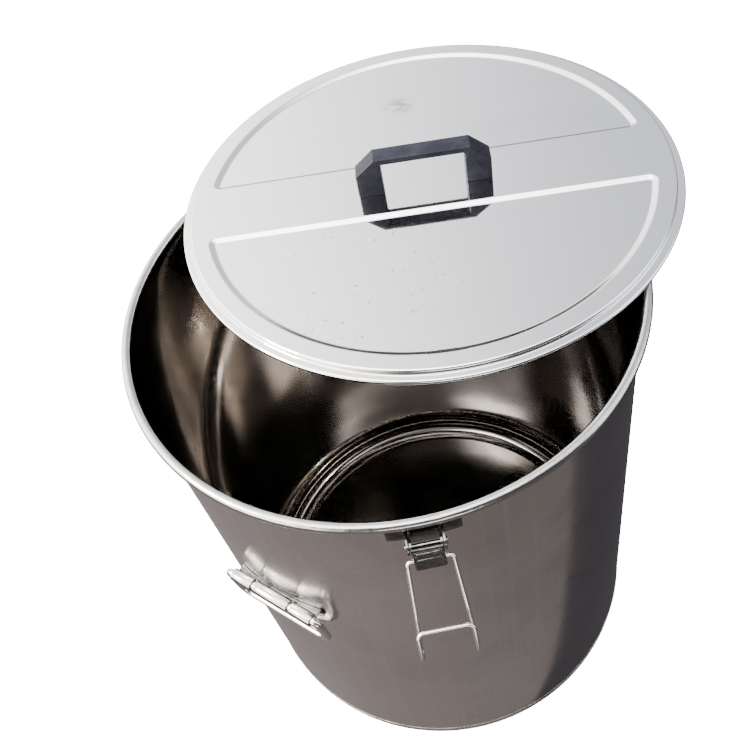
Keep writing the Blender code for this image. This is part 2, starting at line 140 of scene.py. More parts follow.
# ---------------------------------------------------------------- materials


class Shader:
    """Small helper that builds one node material."""

    def __init__(self, name, metallic, **fixed):
        self.material = bpy.data.materials.new(name)
        self.material.use_nodes = True
        self.tree = self.material.node_tree
        self.base = self.tree.nodes["Principled BSDF"]
        self.base.inputs["Metallic"].default_value = metallic
        for key, value in fixed.items():
            self.base.inputs[key.replace("_", " ")].default_value = value
        self.object = self.tree.nodes.new("ShaderNodeTexCoord").outputs["Object"]

    def node(self, kind, **settings):
        made = self.tree.nodes.new("ShaderNode" + kind)
        for key, value in settings.items():
            setattr(made, key, value)
        return made

    def put(self, value, socket):
        if isinstance(value, (int, float)):
            socket.default_value = value
        elif isinstance(value, tuple):
            socket.default_value = (*value, 1.0) if len(value) == 3 and socket.type == "RGBA" else value
        else:
            self.tree.links.new(value, socket)

    def math(self, operation, first, second=0.0):
        made = self.node("Math", operation=operation)
        self.put(first, made.inputs[0])
        self.put(second, made.inputs[1])
        return made.outputs[0]

    def round_about(self):
        """Coordinates of (angle round the can's axis, height)."""
        split = self.node("SeparateXYZ")
        self.put(self.object, split.inputs[0])
        angle = self.math("ARCTAN2", split.outputs[1], split.outputs[0])
        joined = self.node("CombineXYZ")
        self.put(angle, joined.inputs[0])
        self.put(split.outputs[2], joined.inputs[1])
        return joined.outputs[0]

    def scaled(self, scale, source=None):
        made = self.node("Mapping")
        self.put(source or self.object, made.inputs["Vector"])
        made.inputs["Scale"].default_value = scale
        return made.outputs[0]

    def noise(self, scale, detail=3.0, roughness=0.5, source=None, distortion=0.0):
        made = self.node("TexNoise")
        self.put(source or self.object, made.inputs["Vector"])
        made.inputs["Scale"].default_value = scale
        made.inputs["Detail"].default_value = detail
        made.inputs["Roughness"].default_value = roughness
        made.inputs["Distortion"].default_value = distortion
        return made.outputs[0]

    def cells(self, scale, feature="F1", source=None):
        made = self.node("TexVoronoi", feature=feature)
        self.put(source or self.object, made.inputs["Vector"])
        made.inputs["Scale"].default_value = scale
        return made.outputs["Distance"]

    def remap(self, value, low, high, start, end, smooth=False):
        made = self.node("MapRange", interpolation_type="SMOOTHSTEP" if smooth else "LINEAR")
        self.put(value, made.inputs[0])
        for index, number in enumerate((low, high, start, end)):
            self.put(number, made.inputs[index + 1])
        return made.outputs[0]

    def distance(self, place):
        """Distance from a fixed place on the object."""
        made = self.node("VectorMath", operation="DISTANCE")
        self.put(self.object, made.inputs[0])
        made.inputs[1].default_value = place
        return made.outputs["Value"]

    def mix(self, factor, first, second):
        made = self.node("Mix", data_type="RGBA")
        self.put(factor, made.inputs[0])
        self.put(first, made.inputs[6])
        self.put(second, made.inputs[7])
        return made.outputs[2]

    def bump(self, height, strength, distance, normal=None):
        made = self.node("Bump")
        self.put(height, made.inputs["Height"])
        made.inputs["Strength"].default_value = strength
        made.inputs["Distance"].default_value = distance
        if normal:
            self.put(normal, made.inputs["Normal"])
        return made.outputs[0]

    def finish(self, colour, roughness, normal=None):
        self.put(colour, self.base.inputs["Base Color"])
        self.put(roughness, self.base.inputs["Roughness"])
        if normal:
            self.put(normal, self.base.inputs["Normal"])
        return self.material


def scratches(shader, scale, width):
    """1 along a few thin wandering lines, 0 elsewhere."""
    warped = shader.node("VectorMath", operation="ADD")
    shader.put(shader.object, warped.inputs[0])
    made = shader.node("TexNoise")
    shader.put(shader.object, made.inputs["Vector"])
    made.inputs["Scale"].default_value = scale * 0.7
    shader.put(made.outputs["Color"], warped.inputs[1])
    edges = shader.cells(scale, "DISTANCE_TO_EDGE", warped.outputs[0])
    return shader.remap(edges, 0.0, width, 1.0, 0.0)


def outer_sheet():
    """Outside of the can: rolled sheet with soft smears, runs, small spots and hairline scratches."""
    s = Shader("outer_sheet", 1.0)
    around = s.round_about()
    cloud = s.noise(5.0, 4.0, 0.55)
    rolled = s.noise(1.0, 2.0, 0.6, s.scaled((3.0, 700.0, 1.0), around))
    smear = s.noise(14.0, 5.0, 0.65, distortion=0.6)
    spots = s.remap(s.cells(1.0, source=s.scaled((20.0, 90.0, 0.0), around)), 0.05, 0.10, 1.0, 0.0)
    rare = s.remap(s.noise(9.0, 2.0), 0.62, 0.70, 0.0, 1.0)
    spots = s.math("MULTIPLY", spots, rare)
    tone = s.mix(s.remap(cloud, 0.3, 0.7, 0.0, 1.0), (0.50, 0.468, 0.455), (0.64, 0.615, 0.595))
    tone = s.mix(s.remap(smear, 0.50, 0.70, 0.0, 0.55), tone, (0.44, 0.415, 0.40))
    drips = s.noise(1.0, 4.0, 0.6, s.scaled((26.0, 2.2, 1.0), around), 0.4)
    tone = s.mix(s.remap(drips, 0.52, 0.72, 0.0, 0.4), tone, (0.66, 0.64, 0.62))
    tone = s.mix(s.math("MULTIPLY", spots, 0.5), tone, (0.30, 0.28, 0.26))
    lines = scratches(s, 7.0, 0.004)
    rough = s.math("ADD", s.remap(smear, 0.35, 0.75, 0.11, 0.22), s.math("MULTIPLY", rolled, 0.03))
    rough = s.math("ADD", rough, s.math("MULTIPLY", lines, 0.03))
    normal = s.bump(s.noise(9.0, 2.0, 0.4), 0.35, 0.0012)
    normal = s.bump(s.noise(34.0, 2.0, 0.5), 0.10, 0.0006, normal)
    normal = s.bump(rolled, 0.05, 0.0002, normal)
    return s.finish(tone, rough, normal)


def inner_sheet():
    """Inside of the can: polished, in soft waves that break up what it mirrors."""
    s = Shader("inner_sheet", 1.0)
    around = s.round_about()
    rolled = s.noise(1.0, 2.0, 0.6, s.scaled((4.0, 500.0, 1.0), around))
    stain = s.noise(8.0, 4.0, 0.6, distortion=0.8)
    tone = s.mix(s.remap(stain, 0.35, 0.7, 0.0, 1.0), (0.40, 0.375, 0.35), (0.27, 0.255, 0.245))
    rough = s.math("ADD", s.remap(stain, 0.3, 0.75, 0.05, 0.12), s.math("MULTIPLY", rolled, 0.03))
    normal = s.bump(s.noise(7.0, 1.0, 0.4), 0.6, 0.004)
    normal = s.bump(rolled, 0.04, 0.0003, normal)
    return s.finish(tone, rough, normal)


def lid_sheet():
    """Lid: bright polished sheet with a pitted patch, one grey mark and faint smears."""
    s = Shader("lid_sheet", 1.0)
    cloud = s.noise(4.0, 4.0, 0.55)
    smear = s.noise(11.0, 5.0, 0.6, distortion=0.7)
    flat = s.scaled((1.0, 1.0, 0.0))
    pits = s.remap(s.cells(110.0, source=flat), 0.10, 0.17, 1.0, 0.0)
    rare = s.remap(s.noise(24.0, 3.0), 0.40, 0.50, 0.0, 1.0)
    near = s.remap(s.distance(PITTED), 0.05, 0.12, 1.0, 0.12, True)
    pits = s.math("MULTIPLY", s.math("MULTIPLY", pits, rare), near)
    tone = s.mix(s.remap(cloud, 0.3, 0.7, 0.0, 1.0), (0.66, 0.665, 0.67), (0.71, 0.71, 0.71))
    tone = s.mix(s.remap(smear, 0.60, 0.78, 0.0, 0.3), tone, (0.55, 0.55, 0.55))
    tone = s.mix(s.math("MULTIPLY", pits, 0.75), tone, (0.20, 0.19, 0.18))
    mark = s.remap(s.distance(SMUDGE), 0.004, 0.020, 0.75, 0.0, True)
    broken = s.remap(s.noise(90.0, 3.0, distortion=1.0), 0.42, 0.52, 0.2, 1.0)
    mark = s.math("MULTIPLY", mark, broken)
    tone = s.mix(mark, tone, (0.25, 0.245, 0.24))
    lines = scratches(s, 9.0, 0.003)
    rough = s.math("ADD", s.remap(smear, 0.4, 0.8, 0.035, 0.09), s.math("MULTIPLY", lines, 0.08))
    rough = s.math("ADD", rough, s.math("MULTIPLY", pits, 0.2))
    normal = s.bump(s.noise(5.0, 2.0, 0.4), 0.25, 0.0015)
    normal = s.bump(s.noise(40.0, 2.0, 0.5), 0.06, 0.0004, normal)
    return s.finish(tone, rough, normal)


def bright_metal(name, light, dark, low, high, dent):
    """Polished or pressed steel of the small parts and the rim."""
    s = Shader(name, 1.0)
    cloud = s.noise(60.0, 4.0, 0.6)
    fine = s.noise(420.0, 3.0, 0.6)
    grime = s.noise(130.0, 4.0, 0.6, distortion=0.5)
    tone = s.mix(s.remap(cloud, 0.3, 0.7, 0.0, 1.0), light, dark)
    tone = s.mix(s.remap(grime, 0.58, 0.75, 0.0, 0.45), tone, tuple(0.5 * c for c in dark))
    rough = s.math("ADD", s.remap(cloud, 0.3, 0.7, low, high), s.math("MULTIPLY", fine, 0.05))
    normal = s.bump(s.noise(90.0, 2.0), dent, 0.0006)
    normal = s.bump(fine, dent * 0.5, 0.0001, normal)
    return s.finish(tone, rough, normal)


def black_plastic():
    s = Shader("black_plastic", 0.0, IOR=1.4, Specular_IOR_Level=0.16)
    grain = s.noise(1400.0, 3.0, 0.6)
    dust = s.noise(45.0, 5.0, 0.65)
    tone = s.mix(s.remap(dust, 0.45, 0.75, 0.0, 1.0), (0.0035, 0.0035, 0.0065), (0.009, 0.009, 0.014))
    rough = s.math("ADD", s.remap(dust, 0.35, 0.7, 0.36, 0.5), s.math("MULTIPLY", grain, 0.08))
    return s.finish(tone, rough, s.bump(grain, 0.35, 0.0002))


def white_silicone():
    s = Shader("white_silicone", 0.0, IOR=1.42)
    cloud = s.noise(25.0, 4.0, 0.6)
    fine = s.noise(700.0, 2.0, 0.5)
    tone = s.mix(s.remap(cloud, 0.35, 0.7, 0.0, 1.0), (0.80, 0.80, 0.78), (0.70, 0.69, 0.65))
    return s.finish(tone, s.remap(cloud, 0.3, 0.7, 0.48, 0.62), s.bump(fine, 0.2, 0.0002))


def weld_metal():
    s = Shader("weld_bead", 1.0)
    ripple = s.noise(1.0, 1.0, 0.5, s.scaled((260.0, 60.0, 1.0), s.round_about()))
    heat = s.noise(30.0, 3.0, 0.6)
    tone = s.mix(s.remap(heat, 0.35, 0.7, 0.0, 1.0), (0.62, 0.58, 0.52), (0.42, 0.36, 0.30))
    return s.finish(tone, s.remap(ripple, 0.3, 0.7, 0.18, 0.34), s.bump(ripple, 0.8, 0.0008))


OUTER = outer_sheet()
INNER = inner_sheet()
LID = lid_sheet()
# Darker copy of the lid's steel for the creases of the sunken panels: painted shade.
CREASE_SHADE = bright_metal("lid_crease_painted_shade", (0.11, 0.105, 0.10), (0.06, 0.058, 0.056), 0.14, 0.26, 0.3)
RIM = bright_metal("rim_bead", (0.47, 0.46, 0.455), (0.36, 0.355, 0.35), 0.08, 0.18, 0.6)
WIRE = bright_metal("bright_wire", (0.74, 0.73, 0.71), (0.62, 0.60, 0.58), 0.10, 0.18, 0.25)
FITTING = bright_metal("pressed_fitting", (0.46, 0.45, 0.43), (0.30, 0.29, 0.28), 0.08, 0.17, 0.3)
# Darker copy of the pressed steel for the latches and the side handles' plates and straps: painted shade
# standing in for the dark surroundings they reflect.
SHADED_FITTING = bright_metal("fitting_painted_shade", (0.20, 0.195, 0.19), (0.035, 0.034, 0.034), 0.10, 0.22, 1.0)
PLASTIC = black_plastic()
SILICONE = white_silicone()
WELD = weld_metal()


# ---------------------------------------------------------------- mesh helpers


def arc(centre, radius, start, end, steps):
    """Points on a circular arc, both ends included."""
    angles = [math.radians(start + (end - start) * i / steps) for i in range(steps + 1)]
    return [(centre[0] + radius * math.cos(a), centre[1] + radius * math.sin(a)) for a in angles]


def clean(bm):
    """Joins doubled points and turns every face outwards."""
    bmesh.ops.remove_doubles(bm, verts=bm.verts, dist=0.000005)
    bmesh.ops.recalc_face_normals(bm, faces=bm.faces)
    return bm


def piece(name, bm, materials, body, replaces=(), matrix=None, sharp=35.0):
    """Turns a bmesh into a finished piece that rides on a CAD body."""
    mesh = bpy.data.meshes.new(name)
    bm.to_mesh(mesh)
    bm.free()
    if matrix is not None:
        mesh.transform(matrix)
    mesh.shade_smooth()
    mesh.set_sharp_from_angle(angle=math.radians(sharp))
    for material in materials:
        mesh.materials.append(material)
    made = bpy.data.objects.new(name, mesh)
    bpy.context.collection.objects.link(made)
    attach(made, body)
    if replaces:
        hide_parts(*replaces)
    return made


def lathe(profile, closed=True, steps=FINE, warp=None, paint=None, start=0.0, sweep=math.tau):
    """Turns (radius, height) points about Z. warp bends each point, paint picks each band's slot."""
    bm = bmesh.new()
    whole = sweep > math.tau - 0.001
    columns = steps if whole else steps + 1
    rows = []
    for i in range(columns):
        turn = start + sweep * i / steps
        row = []
        for r, z in profile:
            radius, height = warp(r, z, turn) if warp else (r, z)
            row.append(bm.verts.new((radius * math.sin(turn), -radius * math.cos(turn), height)))
        rows.append(row)
    spans = len(profile) if closed else len(profile) - 1
    for i in range(steps):
        here, there = rows[i], rows[(i + 1) % columns]
        for k in range(spans):
            n = (k + 1) % len(profile)
            ring = [here[k], there[k], there[n], here[n]]
            corners = [v for j, v in enumerate(ring) if (v.co - ring[j - 1].co).length > 0.0000001]
            if len(corners) > 2:
                bm.faces.new(corners).material_index = paint(k) if paint else 0
    if not whole and closed:
        bm.faces.new(rows[0])
        bm.faces.new(list(reversed(rows[-1])))
    return clean(bm)


def extruded(points, shift):
    """A closed solid between an outline of 3-D points and the same outline moved by shift."""
    bm = bmesh.new()
    base = bm.faces.new([bm.verts.new(p) for p in points])
    moved = bmesh.ops.extrude_face_region(bm, geom=[base])
    far = [v for v in moved["geom"] if isinstance(v, bmesh.types.BMVert)]
    bmesh.ops.translate(bm, verts=far, vec=shift)
    bmesh.ops.recalc_face_normals(bm, faces=bm.faces)
    return bm


def soften(bm, edges, offset, segments=2, profile=0.5, clamp=False):
    bmesh.ops.bevel(
        bm, geom=edges, offset=offset, segments=segments, profile=profile, affect="EDGES", clamp_overlap=clamp
    )


def sharp_edges(bm, degrees=60):
    return [e for e in bm.edges if e.calc_face_angle() > math.radians(degrees)]


def prism(outline, low, high, bevel=0.0, bm=None, profile=0.6):
    """Extrudes a closed outline of (outward, height) points along X. Outward is -Y."""
    own = extruded([(low, -out, z) for out, z in outline], (high - low, 0, 0))
    if bevel:
        soften(own, sharp_edges(own, 40), bevel, profile=profile)
    if bm is None:
        return own
    merge(bm, own)
    return bm


def turned(bm, place):
    """Moves every point p of a bmesh to place(p)."""
    for v in bm.verts:
        v.co = place(v.co)
    bmesh.ops.recalc_face_normals(bm, faces=bm.faces)
    return bm


def merge(target, source, matrix=None):
    """Adds one bmesh to another and frees it."""
    mesh = bpy.data.meshes.new("part")
    source.to_mesh(mesh)
    source.free()
    if matrix is not None:
        mesh.transform(matrix)
    target.from_mesh(mesh)
    bpy.data.meshes.remove(mesh)


def rod(centre, radius, low, high, sides=32, bevel=0.0, bm=None):
    """A round bar along X about a centre of (outward, height)."""
    circle = arc(centre, radius, 0, 360 - 360 / sides, sides - 1)
    return prism(circle, low, high, bevel, bm, profile=0.5)


def dome(profile, steps, turn, outward, height, bm):
    """Adds a small turned button that stands on the can's wall."""
    spot = Matrix.Rotation(turn, 4, "Z") @ Matrix.Translation((0, -outward, height))
    merge(bm, lathe(profile, steps=steps), spot @ Matrix.Rotation(math.pi / 2, 4, "X"))


def boolean(bm, steps):
    """Adds or cuts bmeshes in turn, each step being (operation, bmesh)."""
    meshes = []
    for source in [bm] + [tool for _, tool in steps]:
        mesh = bpy.data.meshes.new("work")
        source.to_mesh(mesh)
        source.free()
        meshes.append(mesh)
    objects = [bpy.data.objects.new("work", mesh) for mesh in meshes]
    for made in objects:
        bpy.context.collection.objects.link(made)
    for (operation, _), tool in zip(steps, objects[1:]):
        cut = objects[0].modifiers.new(operation, "BOOLEAN")
        cut.operation = operation
        cut.solver = "EXACT"
        cut.object = tool
    graph = bpy.context.evaluated_depsgraph_get()
    result = bmesh.new()
    result.from_mesh(objects[0].evaluated_get(graph).to_mesh())
    for made in objects:
        bpy.data.objects.remove(made, do_unlink=True)
    return result


def tube(points, radius, cyclic=False, sides=20):
    """A round bar along a path, with domed ends when it is open."""
    path = [Vector(p) for p in points]
    count = len(path)
    bm = bmesh.new()
    frames = []
    side = None
    for i, here in enumerate(path):
        before = path[i - 1] if cyclic or i else here
        after = path[(i + 1) % count] if cyclic or i < count - 1 else here
        along = ((after - here).normalized() + (here - before).normalized()).normalized()
        if side is None:
            side = along.orthogonal().normalized()
        side = (side - along * side.dot(along)).normalized()
        frames.append((here, along, side, along.cross(side)))
    loops = []

    def add(here, side, other, size):
        loop = []
        for k in range(sides):
            a = math.tau * k / sides
            loop.append(bm.verts.new(here + (side * math.cos(a) + other * math.sin(a)) * size))
        loops.append(loop)

    def cap(frame, angles, sense):
        here, along, side, other = frame
        for t in map(math.radians, angles):
            add(here + along * sense * radius * math.cos(t), side, other, radius * math.sin(t))

    if not cyclic:
        cap(frames[0], (20, 45, 70), -1)
    for here, _, side, other in frames:
        add(here, side, other, radius)
    if not cyclic:
        cap(frames[-1], (70, 45, 20), 1)
    total = len(loops)
    for i in range(total if cyclic else total - 1):
        here, there = loops[i], loops[(i + 1) % total]
        shift = 0
        if cyclic and i == total - 1:
            shift = min(range(sides), key=lambda q: (there[q].co - here[0].co).length)
        for k in range(sides):
            a, b = (k + shift) % sides, (k + 1 + shift) % sides
            bm.faces.new((here[k], here[(k + 1) % sides], there[b], there[a]))
    if not cyclic:
        bm.faces.new(loops[0])
        bm.faces.new(loops[-1])
    return clean(bm)


def rounded(points, radii, steps=6):
    """A closed outline whose corners are rounded. radii is one number or one per corner."""
    count = len(points)
    sizes = [radii] * count if isinstance(radii, (int, float)) else radii
    result = []
    for i in range(count):
        here = Vector(points[i])
        before = (Vector(points[i - 1]) - here).normalized()
        after = (Vector(points[(i + 1) % count]) - here).normalized()
        half = before.angle(after) / 2
        if sizes[i] <= 0.00001 or half > math.radians(89):
            result.append(tuple(here))
            continue
        centre = here + (before + after).normalized() * sizes[i] / math.sin(half)
        first = here + before * sizes[i] / math.tan(half) - centre
        turn = math.pi - 2 * half
        sense = 1 if before.cross(after) < 0 else -1
        for k in range(steps + 1):
            a = sense * turn * k / steps
            c, s = math.cos(a), math.sin(a)
            result.append((centre.x + first.x * c - first.y * s, centre.y + first.x * s + first.y * c))
    return result


def wrapped(outline, thickness, radius, slice_width=0.0025, bevel=0.0003):
    """A sheet-metal plate of (sideways, height) outline bent round a wall of the given radius."""
    bm = extruded([(x, 0, z) for x, z in outline], (0, -thickness, 0))
    edges = [e for e in sharp_edges(bm) if all(abs(v.co.y) > thickness / 2 for v in e.verts)]
    soften(bm, edges, bevel)
    widest = max(abs(x) for x, _ in outline)
    count = int(widest / slice_width) + 1
    for i in range(-count, count + 1):
        geom = bm.verts[:] + bm.edges[:] + bm.faces[:]
        place = (i * slice_width, 0, 0)
        bmesh.ops.bisect_plane(bm, geom=geom, plane_co=place, plane_no=(1, 0, 0), dist=0.00001)
    for v in bm.verts:
        turn = v.co.x / radius
        out = radius - v.co.y
        v.co = Vector((out * math.sin(turn), -out * math.cos(turn), v.co.z))
    return bm


# ---------------------------------------------------------------- can body


def dents(turn, z):
    """Shallow waves of the rolled sheet, from 0 to 1."""
    wave = math.sin(5 * turn + 1.3 + 2.0 * z) + 0.7 * math.sin(9 * turn + 0.4 - 5.0 * z)
    wave += 0.5 * math.sin(14 * turn + 2.1 + 3.0 * z) + 0.6 * math.sin(3 * turn + 11.0 * z)
    return 0.5 + wave / 5.6


def wall_warp(r, z, turn):
    """Presses the dents in, fading out towards the rim and the seam."""
    below_rim = min(1.0, max(0.0, (CAN_HEIGHT - 0.02 - z) / 0.08))
    above_seam = min(1.0, max(0.0, (z - SEAM) / 0.03))
    return r - DENT * below_rim * above_seam * dents(turn, z), z


def build_wall():
    """One closed section: up the inside, over the curl, under it and down the outside."""
    centre = (WALL_INNER + CURL, CAN_HEIGHT - CURL)
    low, high = SEAM, CAN_HEIGHT - CURL
    rises = [low + (high - low) * i / 40 for i in range(40)]
    under_curl = high - 0.0095
    inner = [(WALL_INNER, z) for z in rises]
    lip = arc(centre, CURL, CURL_SHUTS, CURL_OPENS, 28)
    roll = arc(centre, CURL - SHEET, CURL_OPENS, CURL_SHUTS, 20)
    outer = [(WALL_OUTER, under_curl)] + [(WALL_OUTER, z) for z in reversed(rises)]
    lip_start = len(inner)
    lip_end = lip_start + len(lip) + len(roll) - 1

    def paint(k):
        if k < lip_start:
            return 1
        return 2 if k < lip_end else 0

    bm = lathe(inner + lip + roll + outer, warp=wall_warp, paint=paint)
    piece("can_wall", bm, (OUTER, INNER, RIM), "can", ("barrel_wall",))


def build_floor():
    flat = WALL_OUTER - FLOOR_CORNER
    corner = (flat, FLOOR_CORNER)
    edge = SEAM - GAP
    rings = [flat * i / 14 for i in range(14)]
    profile = [(r, 0.0) for r in rings]
    profile += arc(corner, FLOOR_CORNER, -90, 0, 20)
    count = len(profile)
    profile += [(WALL_OUTER, edge), (WALL_INNER, edge)]
    profile += arc(corner, FLOOR_CORNER - SHEET, 0, -90, 20)
    profile += [(r, SHEET + FLOOR_CROWN * math.cos(r / 0.21 * math.pi / 2)) for r in reversed(rings)]
    bm = lathe(profile, closed=False, paint=lambda k: 0 if k <= count else 1)
    piece("can_floor", bm, (OUTER, INNER), "can", ("floor_pan",))


def build_girth_weld(name, radius, sense):
    """A low rippled bead over the seam of wall and floor, outside (1) or inside (-1)."""
    bead = []
    for a in map(math.radians, range(-90, 91, 18)):
        bead.append((radius + sense * WELD_HEIGHT * math.cos(a), SEAM + WELD_WIDTH * math.sin(a)))
    sunk = radius - sense * 0.0003
    back = [(sunk, SEAM + 0.001), (sunk, SEAM - 0.001)]

    def ripple(r, z, turn):
        swell = 1 + 0.18 * math.sin(turn * 330) + 0.12 * math.sin(turn * 41 + 1)
        return radius + (r - radius) * (swell if (r - radius) * sense > 0 else 1), z

    piece(name, lathe(bead + back, warp=ripple, steps=1080), (WELD,), "can")


def build_rim_seam():
    """Small lapped joint of the rim bead, where the rolled sheet's ends meet."""
    centre = (WALL_INNER + CURL, CAN_HEIGHT - CURL)
    turn = math.radians(-16.0)
    hoop = arc(centre, CURL - 0.0001, -120, 172, 24)
    hoop += arc(centre, CURL + 0.00002, 172, -120, 24)
    bm = lathe(hoop, steps=6, start=turn, sweep=math.radians(1.4))
    piece("rim_seam", bm, (RIM,), "can")


# ---------------------------------------------------------------- lid


def lid_place():
    """Frame of the lid: its origin is in the plane of the seal and its X runs along the handle."""
    seal = np.array([v.co for v in frame["nodes"]["lid_seal"].data.vertices])
    middle = seal.mean(axis=0)
    up = Vector(np.linalg.svd(seal - middle, full_matrices=False)[2][2])
    up = up if up.z > 0 else -up
    grip = np.array([v.co for v in frame["nodes"]["lid_grip"].data.vertices])
    middle_grip = (grip.max(axis=0) + grip.min(axis=0)) / 2
    long = Vector(np.linalg.svd(grip - middle_grip, full_matrices=False)[2][0])
    long = long if long.x > 0 else -long
    side = (long - up * long.dot(up)).normalized()
    across = up.cross(side)
    heights = [(Vector(p) - Vector(middle)).dot(up) for p in seal]
    origin = Vector(middle) + up * min(heights)
    return Matrix.Translation(origin) @ Matrix((side, across, up)).transposed().to_4x4()


def panel_loop(inset, side, chord_steps=16, corner_steps=10, arc_steps=70):
    """One D-shaped outline, moved in by inset, with rounded corners. The chord moves in less."""
    fillet = PANEL_FILLET - inset * (1 + CHORD_SHARE) / 2
    radius = PANEL_RADIUS - inset
    chord = PANEL_CHORD + inset * CHORD_SHARE
    y = chord + fillet
    x = math.sqrt((radius - fillet) ** 2 - y**2)
    turn = math.degrees(math.atan2(y, x))
    points = [(x * (2 * i / chord_steps - 1), chord) for i in range(1, chord_steps)]
    points += arc((x, y), fillet, -90, turn, corner_steps)
    points += arc((0, 0), radius, turn, 180 - turn, arc_steps)[1:-1]
    points += arc((-x, y), fillet, 180 - turn, 270, corner_steps)
    return [(px, side * py) for px, py in points]


def fall(t):
    """Share of the panel's depth reached at t across its slope: straight with rounded ends."""
    soft = 0.22
    if t < soft:
        return t * t / (2 * soft * (1 - soft))
    if t > 1 - soft:
        return 1 - (1 - t) ** 2 / (2 * soft * (1 - soft))
    return (t - soft / 2) / (1 - soft)


def in_shaded_crease(face):
    """Whether a face lies in the rear panel's chord or in the middle of the front panel's arc, the creases
    where shade is painted.
    """
    spot = face.calc_center_median()
    if len(face.verts) != 4 or spot.z < 0:
        return False
    chord = (spot.y - PANEL_CHORD) / (PANEL_SLOPE * CHORD_SHARE)
    rear = 0.12 < chord < 0.88 and abs(spot.x) < 0.2
    rim = (PANEL_RADIUS - math.hypot(spot.x, spot.y)) / PANEL_SLOPE
    front = spot.y < -0.15 and abs(rim - 0.5) < 0.40 - 36.0 * spot.x**2
    return rear or front


def build_lid(place):
    """One sheet: rings from the top out to the rolled edge, two sunken panels and the flat between."""
    bm = bmesh.new()

    def loop(points, z):
        verts = [bm.verts.new((x, y, z)) for x, y in points]
        return verts, [bm.edges.new(pair) for pair in zip(verts, verts[1:] + verts[:1])]

    def bridge(first, second):
        for i in range(len(first)):
            j = (i + 1) % len(first)
            bm.faces.new((first[i], first[j], second[j], second[i]))

    shoulder = (LID_SHOULDER - SHOULDER_ROUND, LID_TOP - SHOULDER_ROUND)
    roll = (LID_RADIUS - LID_ROLL, FLANGE_TOP - LID_ROLL)
    nook = 0.0011
    profile = [(LID_SHOULDER - SHOULDER_ROUND - 0.0004, LID_TOP)]
    profile += arc(shoulder, SHOULDER_ROUND, 90, 0, 8)
    profile += arc((LID_SHOULDER + nook, FLANGE_TOP + nook), nook, 180, 270, 5)
    profile += arc(roll, LID_ROLL, 90, -110, 16)
    circle = [2 * math.pi * i / FINE for i in range(FINE)]
    borders = []
    previous = None
    for r, z in profile:
        verts, edges = loop([(r * math.cos(a), r * math.sin(a)) for a in circle], z)
        if previous:
            bridge(previous, verts)
        else:
            borders += edges
        previous = verts
    steps = 14
    for side in (1, -1):
        previous, edges = loop(panel_loop(-PANEL_LIP, side), LID_TOP)
        borders += edges
        for k in range(steps + 1):
            t = k / steps
            verts, _ = loop(panel_loop(PANEL_SLOPE * t, side), LID_TOP - PANEL_DEPTH * fall(t))
            bridge(previous, verts)
            previous = verts
        verts, _ = loop(panel_loop(PANEL_SLOPE + PANEL_LIP, side), LID_TOP - PANEL_DEPTH)
        bridge(previous, verts)
        bm.faces.new(verts)
    bmesh.ops.triangle_fill(bm, edges=borders, use_beauty=True)
    bmesh.ops.recalc_face_normals(bm, faces=bm.faces)
    top = max(bm.faces, key=lambda f: f.calc_center_median().z)
    if top.normal.z < 0:
        bmesh.ops.reverse_faces(bm, faces=bm.faces)
    # Faces in the creases take the darker steel: painted shade.
    for face in bm.faces:
        if in_shaded_crease(face):
            face.material_index = 1
    made = piece("lid_sheet", bm, (LID, CREASE_SHADE), "lid", ("lid_pan",), place, sharp=50.0)
    shell = made.modifiers.new("thickness", "SOLIDIFY")
    shell.thickness = SHEET
    shell.offset = -1


def build_seal(place):
    top = FLANGE_TOP - SHEET - GAP
    half = [(0.0022, 0.0006), (0.0012, 0), (0.0004, 0.0004), (0, 0.0012), (0, top - 0.0005), (0.0005, top)]
    profile = [(SEAL_INNER + inset, z) for inset, z in half]
    profile += [(SEAL_OUTER - inset, z) for inset, z in reversed(half)]
    piece("lid_seal_ring", lathe(profile), (SILICONE,), "lid", ("lid_seal",), place)


def build_grip(place):
    """Bridge handle with chamfered shoulders. Its feet keep a sharp edge where they meet the lid."""
    base = LID_TOP + GAP
    half, top = GRIP_LENGTH / 2, base + GRIP_HEIGHT
    leg, bar, slope, drop = 0.024, 0.006, 0.0183, 0.016
    right = [(half - leg, top - bar), (half - leg, base), (half, base)]
    right += [(half, top - drop), (half - slope, top)]
    radii = [0.0016, 0, 0, 0.0022, 0.0022]
    outline = rounded(right + [(-x, z) for x, z in reversed(right)], radii + radii[::-1], 5)
    bm = extruded([(x, -GRIP_DEPTH / 2, z) for x, z in outline], (0, GRIP_DEPTH, 0))
    edges = [e for e in sharp_edges(bm) if max(v.co.z for v in e.verts) > base + 0.0005]
    soften(bm, edges, 0.0011, segments=3, clamp=True)
    piece("lid_handle", bm, (PLASTIC,), "lid", ("lid_grip",), place, sharp=40.0)


def build_lid_screws(place):
    """A washer and a round-headed screw under each foot of the handle."""
    under = LID_TOP - SHEET - GAP
    seat = under - 0.0013
    ring = [(0.0024, 0), (0.0058, 0), (0.006, -0.0002), (0.006, -0.0008), (0.0058, -0.001), (0.0024, -0.001)]
    ring = [(r, under + z) for r, z in ring]
    head = [(0, seat - 0.0014), (0.0012, seat - 0.0014), (0.0016, seat - 0.0026)]
    head += arc((0.0016, seat), 0.0026, -90, 0, 8)
    head += [(0.002, seat), (0.002, LID_TOP + 0.0138), (0, LID_TOP + 0.014)]
    for side, name in ((-1, "left"), (1, "right")):
        spot = place @ Matrix.Translation((side * (GRIP_LENGTH / 2 - SCREW_INSET), 0, 0))
        washer = lathe(ring, steps=64)
        piece("washer_" + name, washer, (WIRE,), "lid", ("grip_washer_" + name,), spot)
        screw = lathe(head, closed=False, steps=48)
        piece("screw_" + name, screw, (WIRE,), "lid", ("grip_screw_" + name,), spot)


# ---------------------------------------------------------------- latches


def at_bearing(bearing):
    return Matrix.Rotation(math.radians(bearing), 4, "Z")


def reach(joint):
    """(distance from the axis, height) of a hinge."""
    x, y, z = JOINTS[joint]["pos_m"]
    return math.hypot(x, y), z


